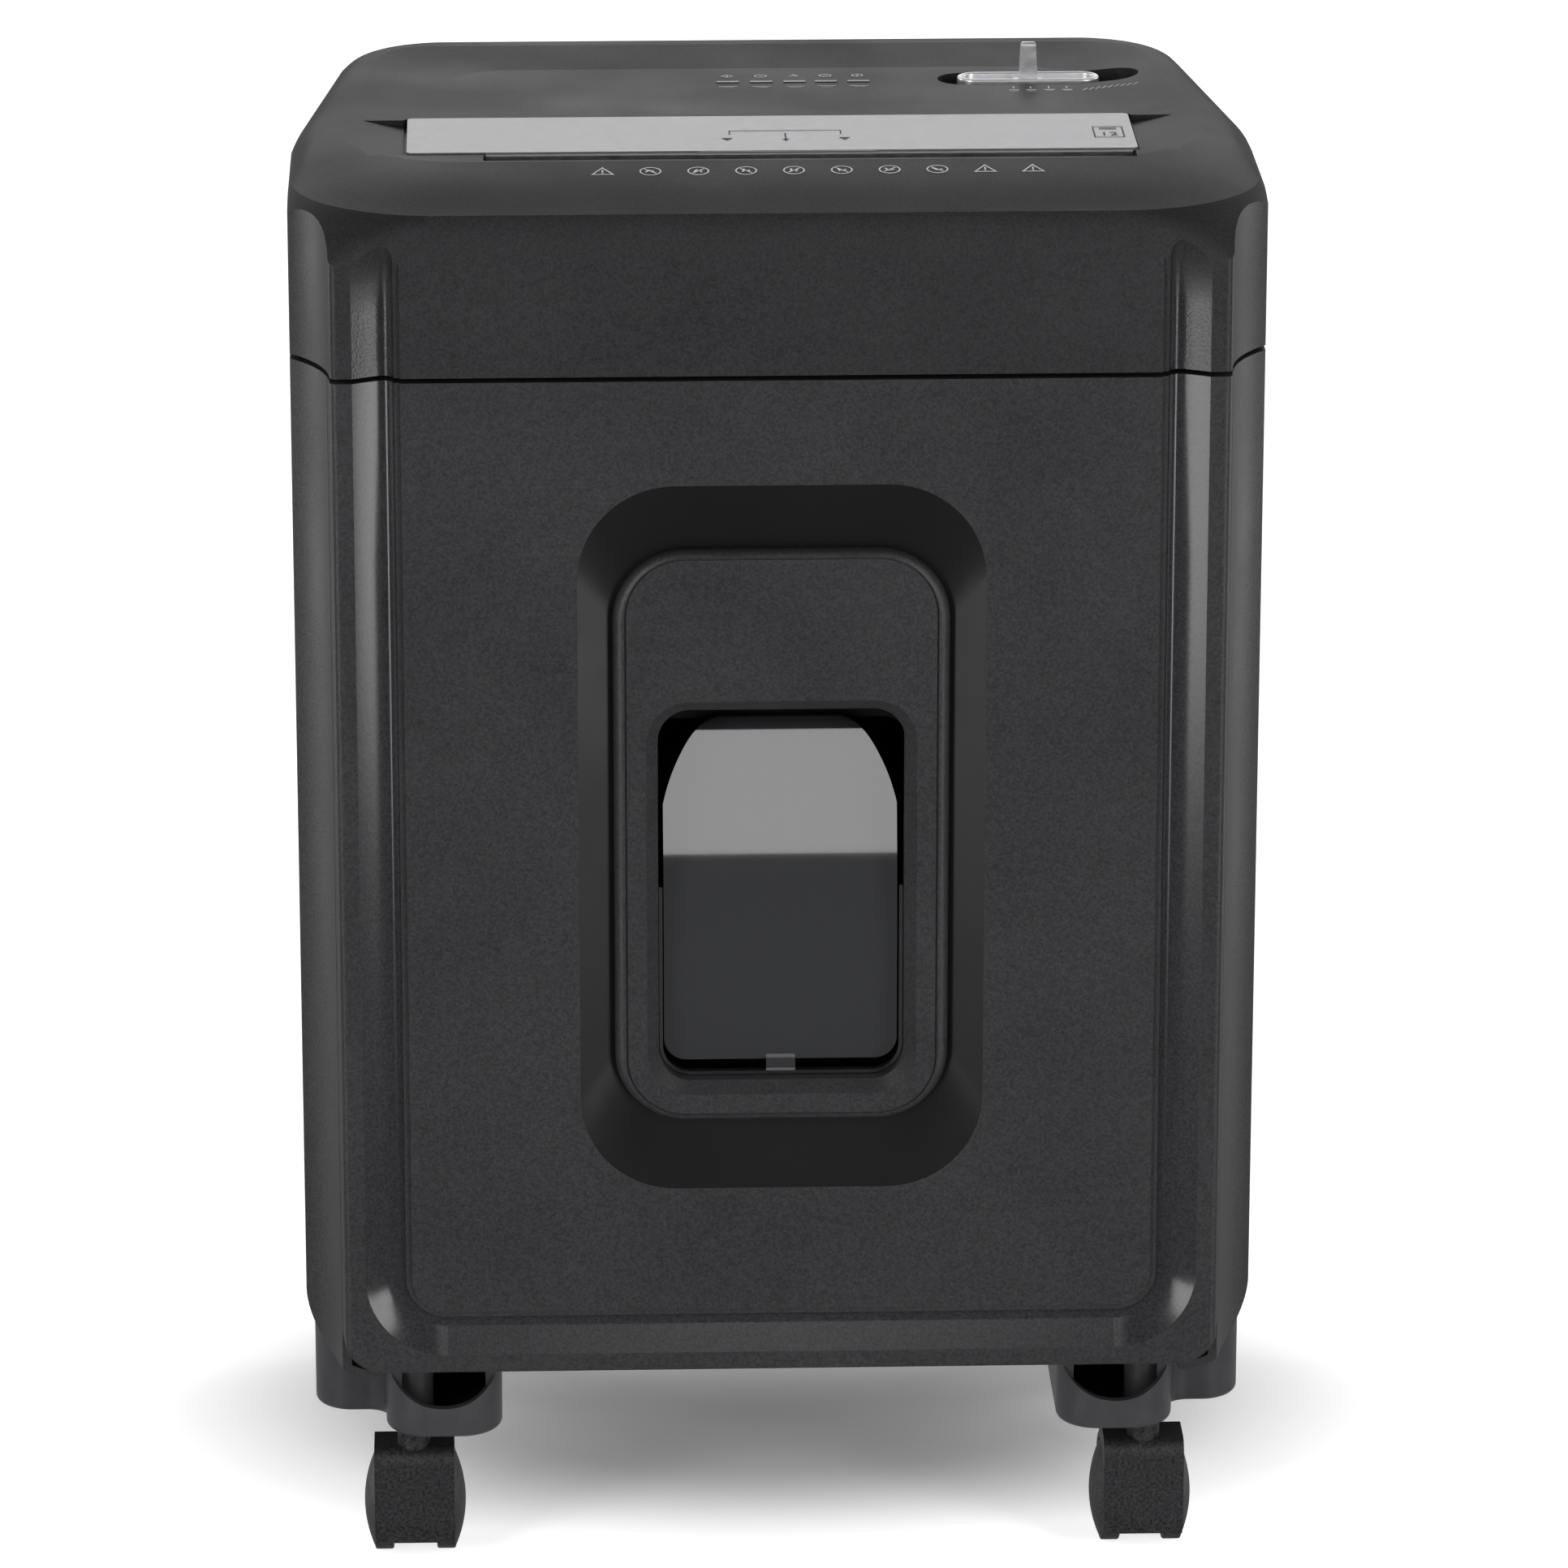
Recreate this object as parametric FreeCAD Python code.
import FreeCAD, Part
import math
import os

# A floor-standing paper shredder on four twin-wheel casters, in millimetres.
# The origin is on the floor under the middle of the body. +Z is up, and the front, with the
# bin's window, faces -Y. The head holds the motor and cutters, and the bin pulls out along -Y.

V = FreeCAD.Vector

# ---------------------------------------------------------------- driving dimensions
HALF_W = 165.0           # half the width of the body
FLAT_HALF_W = 151.0      # half the width of the flat front, between the two coves
FRONT_Y = -122.0
BACK_Y = 122.0
COVE_DEPTH = 34.0        # how far back the hollow at each front corner reaches
BACK_CORNER_R = 30.0
CABINET_Z0 = 74.0        # underside of the cabinet
FLOOR_Y0 = -98.0         # front edge of the cabinet's floor between its sides
PANEL_Z0 = 80.0          # underside of the bin's front panel
SEAM_Z = 436.0           # middle of the gap between the head and what is under it
SEAM_GAP = 1.7
CREASE_Z = 491.0         # soft crease that runs round the top of the head
TOP_Z = 498.5
DISH_Z = 495.4           # floor of the shallow dish that holds the switch and the lamps
TAPER_Y, TAPER_R = -25.0, 220.0            # where the head's sides start to narrow, and how softly
WALL = 3.0

PANEL_DEPTH = 10.0       # front-to-back size of the bin's front panel
PANEL_CORNER_R = 15.0
CABINET_CORNER_R = 26.0
FLOOR_HALF_W = 139.0     # half width of the gap in front of the cabinet's floor
BIN_PULL_GAP = 0.6       # gap between the bin's panel and the cabinet behind it

FLUTE_OUTER_X = 143.6    # outer edge of the hollow flute down each side of the front
FLUTE_W = 16.1
FLUTE_DEEP = 4.5
FLUTE_CORNER_R = 12.0    # radius of the flute's inner edge at the two lower corners
FLUTE_FLOOR_Z = 102.8    # upper edge of the flute where it runs across the bottom
FLUTE_STEP = 1.2         # depth of the narrow ledge beside the matt panel

RECESS = (69.0, 147.5, 398.8, 33.0)       # half width, bottom, top, corner radius
BEAD = (57.0, 171.8, 375.5, 24.5)
PLATEAU = (52.5, 174.9, 372.7, 20.0)
SIGHT = (46.0, 181.7, 322.9, 15.0)        # outer edge of the opening's bevel
SIGHT_IN = (42.0, 185.7, 318.9, 11.0)     # inner edge of the opening's bevel
RECESS_DEEP = 5.0
BEVEL_DEEP = 4.0
PANE_Y = -110.0
PANE_T = 2.0
PANE_BEND_Z = 230.0      # the pane is upright below this height and leans back above it
PANE_TOP_Z = 308.0
PANE_LEAN = 18.0         # how far back the top edge of the pane is
RIM_TOP_Z = 254.0        # top of the pane's clear rim, which runs down both sides and across the bottom

TUB_HALF_W = 144.0
TUB_Y0 = -84.0
TUB_Y1 = 112.0
TUB_Z0 = 79.5
TUB_Z1 = 372.0
TUB_WALL = 2.2

RAIL_Y0, RAIL_Y1 = -82.0, 90.0
RAIL_Z = 102.0           # top of the ledge that the bin's runner slides on
RUNNER = (-66.0, 86.0)   # front and back end of the runner on each side of the tub

HEAD_SEAT_Z = 444.0      # where the head's tray and its cover meet
HEAD_ROOF_Z = 484.0      # underside of the cover's thick rim
TRAY_TOP_Z = 491.6       # underside of the cover's thin middle
GLAND_X, GLAND_Z = -112.0, 456.0           # the cord's bushing on the back

SLOT_X0, SLOT_X1 = -99.0, 122.0           # a letter sheet's width, with 2.5 mm each side
SLOT_Y0, SLOT_Y1 = -69.5, -61.0
PLATE_X0, PLATE_X1 = -125.0, 123.0
PLATE_Y0, PLATE_Y1 = -60.8, -9.5
PLATE_Z = 499.0

SWITCH_X, SWITCH_Y = 96.5, 59.5
SWITCH_HALF_L, SWITCH_HALF_W = 35.5, 9.0
SLIDER_X = 93.0          # middle of the slider at rest, on its "off" mark
SLIDER_HALF_L, SLIDER_HALF_W = 25.0, 6.5
LAMP_XS = (-13.0, -1.2, 10.5, 21.6, 33.0)
LAMP_Y = 56.5

CUT_Y_A, CUT_Y_B, CUT_Z = -83.7, -46.7, 425.0
CUT_X0 = -100.0          # first cutting disc
CUT_PITCH, CUT_T, CUT_N = 8.0, 3.8, 28
CUT_R, CUT_HUB_R, CUT_SHAFT_R = 21.0, 14.0, 8.0
DISC_TURN = 13.0         # each disc is turned by this much from the last, so the hooks bite in turn
PLATE_L_X, PLATE_R_X, PLATE_T = -114.0, 128.0, 4.0

STEM_X, STEM_Y, STEM_R = 128.0, 96.0, 4.0
COLLAR_R = 5.8
CASTER_TRAIL = 12.0      # distance from the swivel axis to the wheels' axle
WHEEL_R = 17.8
AXLE_R = 3.0
TYRE_X0 = 7.6            # inner face of the tyre, from the middle of the caster
WHEEL_FACE_X, WHEEL_DOME = 14.2, 3.6       # outer face of the tyre, and how far the dome stands out
HOOD_HALF_W, HOOD_R, HOOD_TOP_Z = 14.0, 20.5, 44.0
FOOT_Z0 = 52.0

TONGUE_Y, TONGUE_Z = -101.0, 410.0         # end of the tongue that works the safety switch
PLUNGER_X, PLUNGER_TRAVEL = 138.0, 2.0
LEVER_Y, LEVER_Z = -50.0, 470.0            # cross pin of the paper lever

SYNC = (20, 1.85)                    # teeth and module of the two equal gears on the cutters
FINAL, SECOND_SMALL = 44, 16         # module 1.5
SECOND_LARGE, FIRST_SMALL = 36, 14   # module 1.25
FIRST_LARGE, PINION = 42, 12         # module 1
WAY_2 = math.radians(8)              # direction from the cutter to the second gear, seen along +X
WAY_1 = math.radians(12)
WAY_M = math.radians(-8)
GEAR2_Y = CUT_Y_B + 45.0 * math.cos(WAY_2)
GEAR2_Z = CUT_Z + 45.0 * math.sin(WAY_2)
GEAR1_Y = GEAR2_Y + 31.25 * math.cos(WAY_1)
GEAR1_Z = GEAR2_Z + 31.25 * math.sin(WAY_1)
MOTOR_Y = GEAR1_Y + 27.0 * math.cos(WAY_M)
MOTOR_Z = GEAR1_Z + 27.0 * math.sin(WAY_M)
PIN_R = 4.0
MOTOR_R, MOTOR_X0, MOTOR_X1 = 30.0, -100.0, -8.0

COVE_R = ((HALF_W - FLAT_HALF_W) ** 2 + COVE_DEPTH ** 2) / (2 * (HALF_W - FLAT_HALF_W))
HEAD_Z0 = SEAM_Z + SEAM_GAP / 2
LOWER_Z1 = SEAM_Z - SEAM_GAP / 2
PANEL_BACK_Y = FRONT_Y + PANEL_DEPTH
CABINET_INSIDE = (HALF_W - WALL, CABINET_Z0 + WALL, LOWER_Z1 + 60, CABINET_CORNER_R - WALL)


# ---------------------------------------------------------------- small makers
def box(x0, x1, y0, y1, z0, z1):
    return Part.makeBox(x1 - x0, y1 - y0, z1 - z0, V(x0, y0, z0))


def rod_x(r, x0, x1, y, z):
    return Part.makeCylinder(r, x1 - x0, V(x0, y, z), V(1, 0, 0))


def rod_y(r, y0, y1, x, z):
    return Part.makeCylinder(r, y1 - y0, V(x, y0, z), V(0, 1, 0))


def rod_z(r, z0, z1, x, y):
    return Part.makeCylinder(r, z1 - z0, V(x, y, z0), V(0, 0, 1))


def fuse(shapes):
    shapes = list(shapes)
    return shapes[0].multiFuse(shapes[1:]).removeSplitter() if len(shapes) > 1 else shapes[0]


def flip_x(shape):
    return shape.mirror(V(0, 0, 0), V(1, 0, 0))


def flip_y(shape):
    return shape.mirror(V(0, 0, 0), V(0, 1, 0))


def rounded_wire(u0, u1, v0, v1, radii, place):
    """A rounded rectangle; radii go round from the corner (u0, v0)."""
    centres = [(u0 + radii[0], v0 + radii[0]), (u1 - radii[1], v0 + radii[1]),
               (u1 - radii[2], v1 - radii[2]), (u0 + radii[3], v1 - radii[3])]
    ends, edges = [], []
    for k, (cu, cv) in enumerate(centres):
        turn = [math.radians(180 + 90 * k + a) for a in (0, 45, 90)]
        ends.append([place(cu + radii[k] * math.cos(a), cv + radii[k] * math.sin(a)) for a in turn])
    for k in range(4):
        edges.append(Part.Arc(*ends[k]).toShape())
        start, stop = ends[k][2], ends[(k + 1) % 4][0]
        if start.distanceToPoint(stop) > 1e-6:
            edges.append(Part.LineSegment(start, stop).toShape())
    return Part.Wire(edges)


def front_wire(half_w, z0, z1, r, y):
    return rounded_wire(-half_w, half_w, z0, z1, [r] * 4, lambda u, v: V(u, y, v))


def front_prism(shape, y0, y1):
    """A rounded rectangle seen from the front, (half width, bottom, top, radius), made y0 to y1."""
    return Part.Face(front_wire(*shape, y0)).extrude(V(0, y1 - y0, 0))


def plan_wire(x0, x1, y0, y1, r_front, r_back, z):
    radii = [r_front, r_front, r_back, r_back]
    return rounded_wire(x0, x1, y0, y1, radii, lambda u, v: V(u, v, z))


def plan_prism(x0, x1, y0, y1, r, z0, z1):
    return Part.Face(plan_wire(x0, x1, y0, y1, r, r, z0)).extrude(V(0, 0, z1 - z0))


def stadium(x, y, half_l, half_w, z0, z1):
    return plan_prism(x - half_l, x + half_l, y - half_w, y + half_w, half_w - 0.01, z0, z1)


def tapered_wire(x, front, back, r_front, r_back, taper, inset, z):
    """A plan outline that is straight along its sides to TAPER_Y, then narrows to the back by an angle."""
    x, front, back = x - inset, front + inset, back - inset
    rf, rb = r_front - inset, r_back - inset
    a = math.radians(taper)
    bend = V(x - TAPER_R * (1 - math.cos(a)), TAPER_Y + TAPER_R * math.sin(a), z)
    cx = bend.x - (rb + (back - rb - bend.y) * math.sin(a)) / math.cos(a)
    corner = [V(cx + rb * math.cos(b), back - rb + rb * math.sin(b), z)
              for b in (a, (a + math.pi / 2) / 2, math.pi / 2)]
    half = a / 2
    side_x = [V(x, TAPER_Y, z),
              V(x - TAPER_R * (1 - math.cos(half)), TAPER_Y + TAPER_R * math.sin(half), z), bend]
    turn = [V(x - rf + rf * math.sin(b), front + rf - rf * math.cos(b), z)
            for b in (0, math.pi / 4, math.pi / 2)]
    right = [Part.LineSegment(V(0, front, z), turn[0]).toShape(), Part.Arc(*turn).toShape(),
             Part.LineSegment(turn[2], side_x[0]).toShape(), Part.Arc(*side_x).toShape(),
             Part.LineSegment(bend, corner[0]).toShape(), Part.Arc(*corner).toShape(),
             Part.LineSegment(corner[2], V(0, back, z)).toShape()]
    return Part.Wire(Part.__sortEdges__(right + [flip_x(e) for e in right]))


def body_prism(inset, z0, z1):
    """The body's outline seen from above, with a cove at each front corner, moved in by inset."""
    cx, r = FLAT_HALF_W + COVE_R, COVE_R + inset
    y0, side_x, back_y = FRONT_Y + inset, HALF_W - inset, BACK_Y - inset
    a0 = math.pi - math.asin(inset / r)
    a1 = math.pi - math.acos((cx - side_x) / r)
    on_cove = [V(cx + r * math.cos(a), FRONT_Y + r * math.sin(a), z0) for a in (a0, (a0 + a1) / 2, a1)]
    rb = BACK_CORNER_R - inset
    corner = [V(side_x - rb + rb * math.cos(a), back_y - rb + rb * math.sin(a), z0)
              for a in (0, math.pi / 4, math.pi / 2)]
    right = [Part.LineSegment(V(0, y0, z0), on_cove[0]).toShape(), Part.Arc(*on_cove).toShape(),
             Part.LineSegment(on_cove[2], corner[0]).toShape(), Part.Arc(*corner).toShape(),
             Part.LineSegment(corner[2], V(0, back_y, z0)).toShape()]
    edges = right + [flip_x(e) for e in right]
    return Part.Face(Part.Wire(Part.__sortEdges__(edges))).extrude(V(0, 0, z1 - z0))


def soften(shape, radius, wanted):
    """Rounds the edges that the test picks, or returns the shape as it was if that can't be done."""
    edges = [e for e in shape.Edges if wanted(e)]
    try:
        rounded = shape.makeFillet(radius, edges)
        return rounded if rounded.isValid() and rounded.Volume > 0 else shape
    except Exception:
        print("not rounded:", radius, len(edges))
        return shape


def upright_at(x, y, reach=1.0):
    def test(edge):
        b = edge.BoundBox
        return (b.ZLength > 20 and b.XLength < 0.1 and b.YLength < 0.1
                and abs(abs(b.XMin) - x) < reach and abs(b.YMin - y) < reach)
    return test


def body_block(inset, z0, z1):
    block = body_prism(inset, z0, z1)
    block = soften(block, 2.5, upright_at(FLAT_HALF_W, FRONT_Y))
    return soften(block, 1.2, upright_at(HALF_W, FRONT_Y + COVE_DEPTH))


def save(shape, node):
    shape.exportStep("parts/%s.step" % node)
    facts = (node, len(shape.Solids), shape.Volume, shape.isValid())
    print("%-24s solids %2d  volume %9.0f  valid %s" % facts)


# ---------------------------------------------------------------- the flute on the front
def flute_face(place):
    """Section of the flute: u runs in from its outer edge, and d is the depth below the front."""
    hollow = [(0.0, 0.0), (4.0, 2.1), (8.0, 3.9), (10.4, FLUTE_DEEP), (12.6, 3.6), (14.0, FLUTE_STEP)]
    curve = Part.BSplineCurve()
    curve.interpolate([place(u, d) for u, d in hollow])
    rest = [(14.0, FLUTE_STEP), (FLUTE_W, FLUTE_STEP), (FLUTE_W, -1.0), (0.0, -1.0), (0.0, 0.0)]
    lines = [Part.LineSegment(place(*a), place(*b)).toShape() for a, b in zip(rest, rest[1:])]
    return Part.Face(Part.Wire([curve.toShape()] + lines))


def flute_cutter():
    """One channel: down the left side, round a corner, across the bottom, and up the right side."""
    turn_z = FLUTE_FLOOR_Z + FLUTE_CORNER_R
    inner_x = FLUTE_OUTER_X - FLUTE_W
    turn_x = inner_x - FLUTE_CORNER_R
    section = flute_face(lambda u, d: V(-FLUTE_OUTER_X + u, FRONT_Y + d, turn_z))
    upright = section.extrude(V(0, 0, LOWER_Z1 + 5 - turn_z))
    corner = section.revolve(V(-turn_x, FRONT_Y, turn_z), V(0, -1, 0), 90)
    across = flute_face(lambda u, d: V(-turn_x, FRONT_Y + d, FLUTE_FLOOR_Z - FLUTE_W + u))
    across = across.extrude(V(2 * turn_x, 0, 0))
    return [upright, corner, across, flip_x(upright), flip_x(corner)]


def head_flutes():
    """On the head the flute goes on up, then swings out through the surface and fades away."""
    rise_z, fade = 469.0, 16.0
    swing = (fade ** 2 + FLUTE_DEEP ** 2) / (2 * FLUTE_DEEP)
    section = flute_face(lambda u, d: V(-FLUTE_OUTER_X + u, FRONT_Y + d, HEAD_Z0 - 1))
    straight = section.extrude(V(0, 0, rise_z - HEAD_Z0 + 1))
    section.translate(V(0, 0, rise_z - HEAD_Z0 + 1))
    scoop = section.revolve(V(0, FRONT_Y + FLUTE_DEEP - swing, rise_z), V(1, 0, 0), 50)
    left = [straight, scoop]
    return left + [flip_x(s) for s in left]


# ---------------------------------------------------------------- cabinet
def cabinet_block():
    """The cabinet's outer form, before it is hollowed."""
    front_y = PANEL_BACK_Y + BIN_PULL_GAP
    ends = front_prism((HALF_W + 0.01, CABINET_Z0, LOWER_Z1 + 60, CABINET_CORNER_R), front_y, BACK_Y + 1)
    return body_block(0, CABINET_Z0, LOWER_Z1).common(ends)


def floor_gap():
    """The gap in front of the cabinet's floor, narrow at the bottom and as wide as the bin above."""
    low = box(-FLOOR_HALF_W, FLOOR_HALF_W, FRONT_Y - 1, FLOOR_Y0, CABINET_Z0 - 75, TUB_Z0)
    return low.fuse(box(-146, 146, FRONT_Y - 1, FLOOR_Y0, TUB_Z0 - 0.6, 100))


def cabinet_shell():
    outer = cabinet_block()
    inner = body_prism(WALL, CABINET_Z0 + WALL, LOWER_Z1 + 5)
    shell = outer.cut(inner.common(front_prism(CABINET_INSIDE, FRONT_Y - 1, BACK_Y)))
    shell = shell.cut(floor_gap())
    back_panel = front_prism((118.0, 112.0, 402.0, 14.0), BACK_Y - 1.0, BACK_Y + 1)
    shell = shell.cut(back_panel)
    grip = front_prism((45.0, 404.5, 428.0, 11.0), BACK_Y - 1.2, BACK_Y + 1)
    return shell.cut(grip)


def bin_rail(side):
    """A ledge on the inside wall that carries the bin's runner, with a stop lip at its back end."""
    ledge = box(145.2, HALF_W - WALL, RAIL_Y0, RAIL_Y1, RAIL_Z - 4, RAIL_Z)
    web = box(149.5, HALF_W - WALL, RAIL_Y0, RAIL_Y1, RAIL_Z, RAIL_Z + 12)
    stop = box(145.2, 149.5, RAIL_Y1 - 3, RAIL_Y1, RAIL_Z, RAIL_Z + 12)
    rail = fuse([ledge, web, stop]).common(front_prism(CABINET_INSIDE, FRONT_Y, BACK_Y))
    return rail if side > 0 else flip_x(rail)


# ---------------------------------------------------------------- bin
def bin_tub():
    radii_out, radii_in = 18.0, 18.0 - TUB_WALL
    tub = plan_prism(-TUB_HALF_W, TUB_HALF_W, TUB_Y0, TUB_Y1, radii_out, TUB_Z0, TUB_Z1)
    tub = soften(tub, 6.0, lambda e: e.BoundBox.ZMax < TUB_Z0 + 0.01)
    hollow = plan_prism(-TUB_HALF_W + TUB_WALL, TUB_HALF_W - TUB_WALL, TUB_Y0 + TUB_WALL,
                        TUB_Y1 - TUB_WALL, radii_in, TUB_Z0 + TUB_WALL, TUB_Z1 + 5)
    rim = plan_prism(-TUB_HALF_W - 2, TUB_HALF_W + 2, TUB_Y0 - 2, TUB_Y1 + 2, 20, TUB_Z1 - 4, TUB_Z1)
    runners = [box(TUB_HALF_W - 1, 147.8, RUNNER[0], RUNNER[1], RAIL_Z + 0.4, RAIL_Z + 4.4)]
    runners.append(flip_x(runners[0]))
    bosses = [box(x - 5, x + 5, PANEL_BACK_Y, TUB_Y0 + 1, z - 5, z + 5) for x, z in bin_screw_places()]
    tub = fuse([tub, rim] + runners + bosses).cut(hollow)
    sight = front_prism((44.0, 186.0, 306.0, 8.0), TUB_Y0 - 5, TUB_Y0 + 10)
    holes = [rod_y(2.0, TUB_Y0 - 6, TUB_Y0 + 10, x, z) for x, z in bin_screw_places()]
    holes += [rod_y(2.0, PANEL_BACK_Y - 1, TUB_Y0, x, z) for x, z in bin_screw_places()]
    return tub.cut(fuse([sight] + holes))


def bin_screw_places():
    return [(x, z) for x in (-104.0, 104.0) for z in (120.0, 240.0, 356.0)]


def bin_screws():
    """Six screws from inside the tub into the back of the front panel."""
    screws = []
    for x, z in bin_screw_places():
        head = rod_y(3.6, TUB_Y0 + TUB_WALL, TUB_Y0 + TUB_WALL + 2.4, x, z)
        screws.append(fuse([head, rod_y(1.9, PANEL_BACK_Y - 5, TUB_Y0 + TUB_WALL + 0.5, x, z)]))
    return Part.makeCompound(screws)


def bin_front_panel():
    panel = body_block(0, PANEL_Z0, LOWER_Z1)
    ends = (FLAT_HALF_W + 1.2, PANEL_Z0, LOWER_Z1 + 40, PANEL_CORNER_R)
    panel = panel.common(front_prism(ends, FRONT_Y - 1, PANEL_BACK_Y))
    panel = soften(panel, 1.5, lambda e: e.BoundBox.YMax < FRONT_Y + 0.05 and e.BoundBox.ZMax < 100)
    inner_half = FLUTE_OUTER_X - FLUTE_W - 2.5
    pocket = box(-inner_half, inner_half, FRONT_Y + WALL, PANEL_BACK_Y + 1, FLUTE_FLOOR_Z + 3, LOWER_Z1 - 3)
    half_w, z0, z1, r = RECESS
    boss = front_prism((half_w + WALL, z0 - WALL, z1 + WALL, r + WALL), FRONT_Y, PANEL_BACK_Y + 2)
    posts = [rod_y(6.0, FRONT_Y, PANEL_BACK_Y + 2, x, z) for x, z in bin_screw_places()]
    panel = panel.cut(pocket.cut(fuse([boss] + posts)))
    panel = panel.cut(front_prism(RECESS, FRONT_Y - 1, PANEL_BACK_Y + 1))
    for piece in flute_cutter():
        panel = panel.cut(piece)
    holes = [rod_y(1.9, PANEL_BACK_Y - 5, PANEL_BACK_Y + 1, x, z) for x, z in bin_screw_places()]
    panel = panel.cut(fuse(holes))
    tongue = box(134.0, 142.0, PANEL_BACK_Y - 1, TONGUE_Y, TONGUE_Z - 3, TONGUE_Z + 3)
    return fuse([panel, tongue])


def window_surround():
    """The glossy sloping ring that leads in from the front panel to the bead round the plate."""
    ring = front_prism(RECESS, FRONT_Y, PANEL_BACK_Y)
    slope = [front_wire(*RECESS, FRONT_Y), front_wire(*BEAD, FRONT_Y + RECESS_DEEP)]
    slope = Part.makeLoft(slope, True, True)
    return ring.cut(slope).cut(front_prism(BEAD, FRONT_Y, PANEL_BACK_Y + 1))


def window_plate():
    plate = front_prism(BEAD, FRONT_Y + 0.1, PANEL_BACK_Y)
    plate = soften(plate, 3.6, lambda e: e.BoundBox.YMax < FRONT_Y + 0.11)
    line_out = front_prism((PLATEAU[0] + 0.7, PLATEAU[1] - 0.7, PLATEAU[2] + 0.7, PLATEAU[3] + 0.7),
                           FRONT_Y - 1, FRONT_Y + 0.7)
    line = line_out.cut(front_prism(PLATEAU, FRONT_Y - 1, FRONT_Y + 0.7))
    bevel = Part.makeLoft([front_wire(*SIGHT, FRONT_Y + 0.1), front_wire(*SIGHT_IN, FRONT_Y + BEVEL_DEEP)],
                          True, True)
    through = front_prism(SIGHT_IN, FRONT_Y, PANEL_BACK_Y + 1)
    return plate.cut(line).cut(bevel).cut(through)


def window_frame():
    """The black housing behind the plate: open in front, and open behind where the pane is."""
    outer = front_prism((51.0, 178.0, 362.0, 9.0), PANEL_BACK_Y, TUB_Y0)
    inner = front_prism((48.8, 180.2, 359.8, 7.0), PANEL_BACK_Y - 1, TUB_Y0 - 2.0)
    behind = front_prism((44.0, 186.0, 306.0, 8.0), TUB_Y0 - 5, TUB_Y0 + 1)
    ribs = [box(x - 0.8, x + 0.8, TUB_Y0 - 8, TUB_Y0 - 1, 312, 361) for x in (-30, -10, 10, 30)]
    return fuse([outer.cut(inner).cut(behind)] + ribs)


def pane_line(y, z_low):
    """Side view of the pane's face: upright, then a long arc that leans back."""
    rise = PANE_TOP_Z + 6 - PANE_BEND_Z
    r = ((PANE_TOP_Z - PANE_BEND_Z) ** 2 + PANE_LEAN ** 2) / (2 * PANE_LEAN)
    r += PANE_Y - y
    points = [V(0, y + r - r * math.cos(a), PANE_BEND_Z + r * math.sin(a))
              for a in (0, math.asin(rise / r) / 2, math.asin(rise / r))]
    return Part.LineSegment(V(0, y, z_low), points[0]).toShape(), Part.Arc(*points).toShape(), points[2]


def window_pane():
    z_low = SIGHT_IN[1] + 4.7
    up_a, arc_a, top_a = pane_line(PANE_Y, z_low)
    up_b, arc_b, top_b = pane_line(PANE_Y + PANE_T, z_low)
    ends = [Part.LineSegment(top_a, top_b).toShape(),
            Part.LineSegment(V(0, PANE_Y, z_low), V(0, PANE_Y + PANE_T, z_low)).toShape()]
    side = Part.Face(Part.Wire(Part.__sortEdges__([up_a, arc_a, up_b, arc_b] + ends)))
    slab = side.extrude(V(48, 0, 0))
    slab = slab.fuse(flip_x(slab)).removeSplitter()
    y = PANE_Y - 5
    low = [V(32, y, z_low), V(37.8, y, z_low + 2.3), V(40, y, z_low + 8)]
    shoulder = Part.BSplineCurve()
    shoulder.interpolate([V(x, y, z) for x, z in ((40, 280.5), (37.4, 289.0), (33.4, 297.4), (28.2, 304.4),
                                                  (21, PANE_TOP_Z))])
    high = [V(40, y, 280.5), V(21, y, PANE_TOP_Z)]
    right = [Part.LineSegment(V(0, y, z_low), low[0]).toShape(), Part.Arc(*low).toShape(),
             Part.LineSegment(low[2], high[0]).toShape(), shoulder.toShape(),
             Part.LineSegment(high[1], V(0, y, PANE_TOP_Z)).toShape()]
    outline = Part.Wire(Part.__sortEdges__(right + [flip_x(e) for e in right]))
    pane = slab.common(Part.Face(outline).extrude(V(0, 60, 0)))
    lug = box(-5, 5, PANE_Y - 1.9, PANE_Y + 1.0, z_low - 9, z_low + 1)
    rim_out = (SIGHT_IN[0] - 0.3, SIGHT_IN[1] + 0.3, SIGHT_IN[2], SIGHT_IN[3] - 0.3)
    rim_in = (SIGHT_IN[0] - 1.5, SIGHT_IN[1] + 1.5, SIGHT_IN[2], SIGHT_IN[3] - 1.5)
    rim = front_prism(rim_out, PANE_Y - 3.2, PANE_Y - 0.4).cut(front_prism(rim_in, PANE_Y - 4, PANE_Y))
    rim = rim.cut(box(-60, 60, PANE_Y - 5, PANE_Y + 1, RIM_TOP_Z, 400))
    return fuse([pane, lug, rim])


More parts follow.
